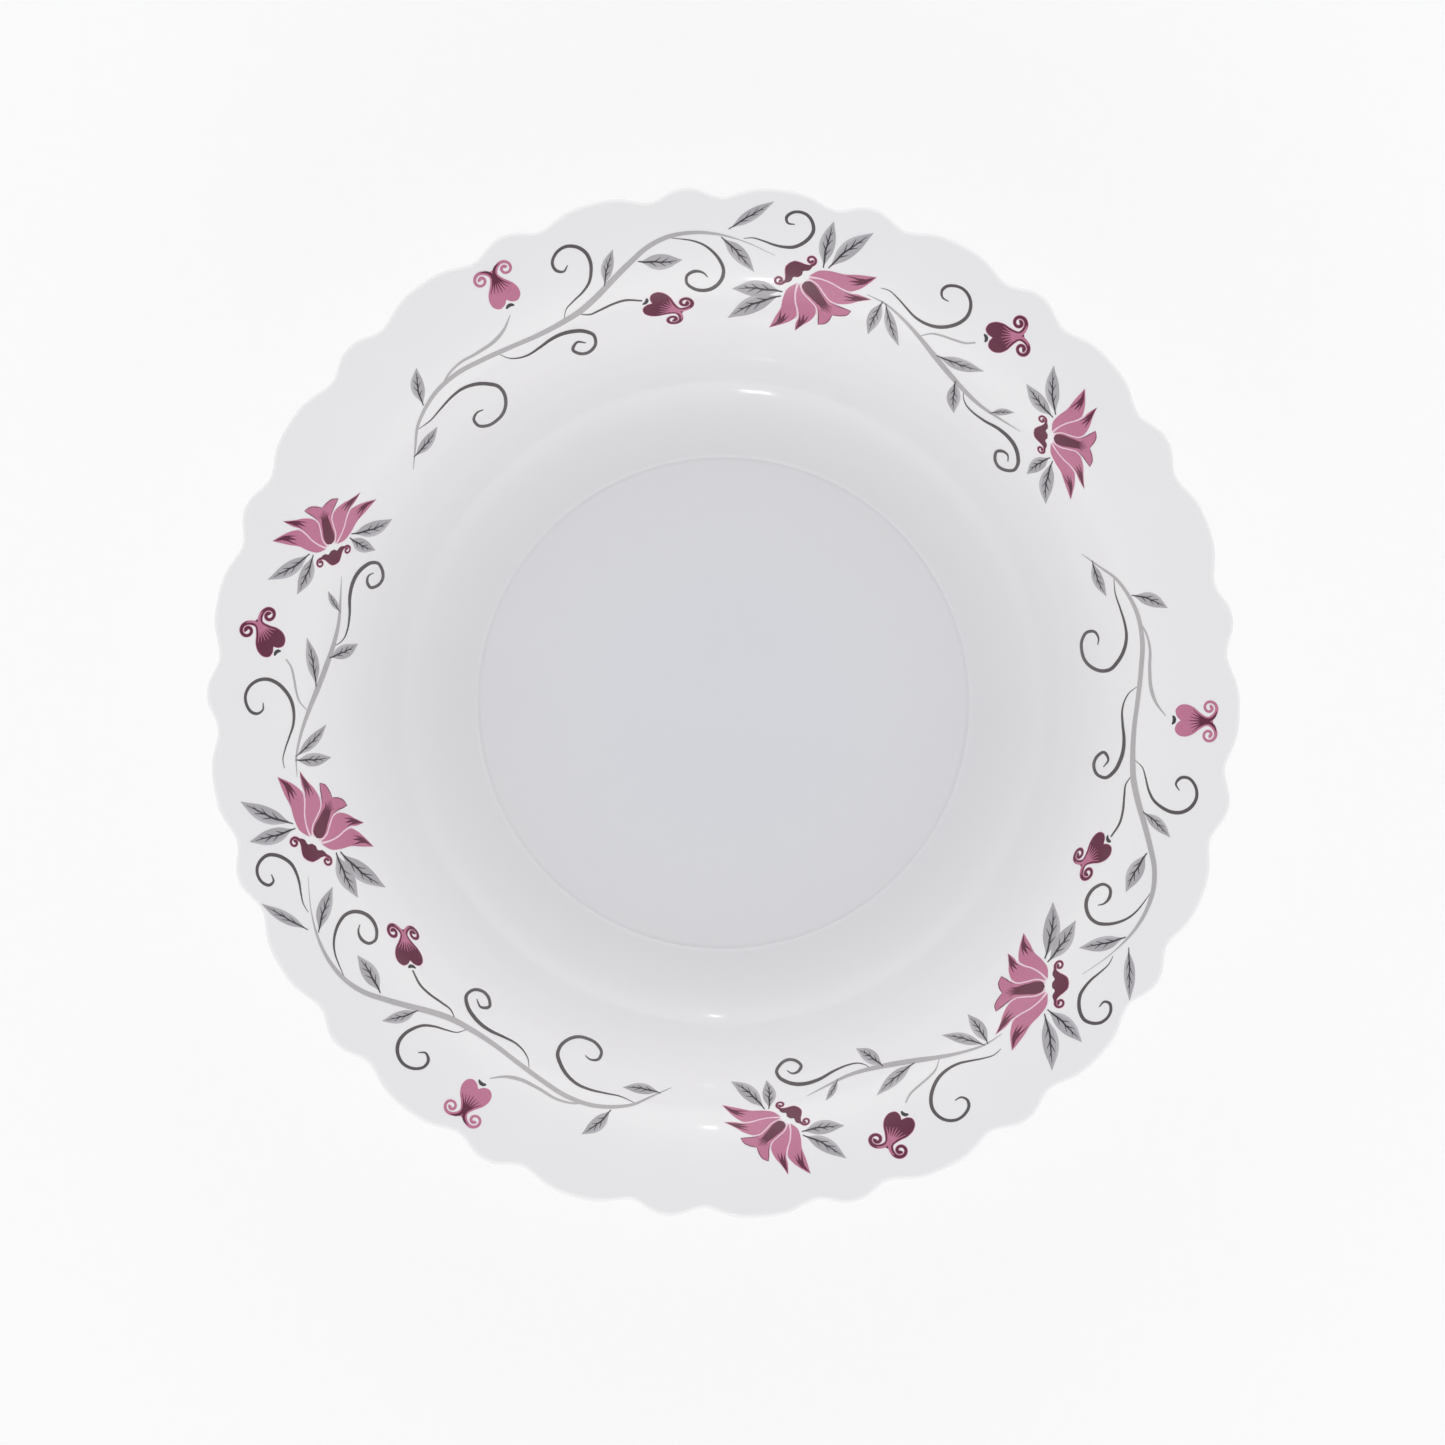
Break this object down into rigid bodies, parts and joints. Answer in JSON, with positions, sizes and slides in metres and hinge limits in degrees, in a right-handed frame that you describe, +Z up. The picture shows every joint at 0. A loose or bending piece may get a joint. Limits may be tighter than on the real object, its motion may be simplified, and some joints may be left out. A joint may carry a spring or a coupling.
{
  "type": "serving bowl",
  "caption": "Round serving bowl with a scalloped flared rim, a deep well, a foot ring and a floral enamel border round the inside of the rim.",
  "frame": {"origin": "centre of the foot ring, in the plane the bowl stands on", "axes": "+Z up through the middle of the bowl, +X through the middle of a wide lobe of the rim"},
  "size_m": [0.23, 0.229, 0.051],
  "materials": {
    "bowl_glaze": "glossy white glaze, very slightly blue",
    "enamel_grey": "glossy fired enamel, warm grey with darker veins",
    "enamel_charcoal": "glossy fired enamel, charcoal",
    "enamel_pink": "glossy fired enamel, dusty pink",
    "enamel_plum": "glossy fired enamel, plum"
  },
  "bodies": {
    "root": {"bowl_body": "bowl_glaze", "spray_1_long_vine": "enamel_grey", "spray_1_short_vine": "enamel_grey", "spray_1_loose_leaf": "enamel_grey", "spray_1_large_flower_left_leaves": "enamel_grey", "spray_1_large_flower_right_leaves": "enamel_grey", "spray_1_small_flower_left_leaves": "enamel_grey", "spray_1_small_flower_right_leaves": "enamel_grey", "spray_1_long_tendril": "enamel_charcoal", "spray_1_short_tendril": "enamel_charcoal", "spray_1_outer_bud": "enamel_pink", "spray_1_large_flower": "enamel_pink", "spray_1_small_flower": "enamel_pink", "spray_1_inner_bud": "enamel_plum", "spray_1_short_vine_bud": "enamel_plum", "spray_1_large_flower_cap": "enamel_plum", "spray_1_small_flower_cap": "enamel_plum", "spray_2_long_vine": "enamel_grey", "spray_2_short_vine": "enamel_grey", "spray_2_loose_leaf": "enamel_grey", "spray_2_large_flower_left_leaves": "enamel_grey", "spray_2_large_flower_right_leaves": "enamel_grey", "spray_2_small_flower_left_leaves": "enamel_grey", "spray_2_small_flower_right_leaves": "enamel_grey", "spray_2_long_tendril": "enamel_charcoal", "spray_2_short_tendril": "enamel_charcoal", "spray_2_outer_bud": "enamel_pink", "spray_2_large_flower": "enamel_pink", "spray_2_small_flower": "enamel_pink", "spray_2_inner_bud": "enamel_plum", "spray_2_short_vine_bud": "enamel_plum", "spray_2_large_flower_cap": "enamel_plum", "spray_2_small_flower_cap": "enamel_plum", "spray_3_long_vine": "enamel_grey", "spray_3_short_vine": "enamel_grey", "spray_3_loose_leaf": "enamel_grey", "spray_3_large_flower_left_leaves": "enamel_grey", "spray_3_large_flower_right_leaves": "enamel_grey", "spray_3_small_flower_left_leaves": "enamel_grey", "spray_3_small_flower_right_leaves": "enamel_grey", "spray_3_long_tendril": "enamel_charcoal", "spray_3_short_tendril": "enamel_charcoal", "spray_3_outer_bud": "enamel_pink", "spray_3_large_flower": "enamel_pink", "spray_3_small_flower": "enamel_pink", "spray_3_inner_bud": "enamel_plum", "spray_3_short_vine_bud": "enamel_plum", "spray_3_large_flower_cap": "enamel_plum", "spray_3_small_flower_cap": "enamel_plum"}
  },
  "joints": []
}
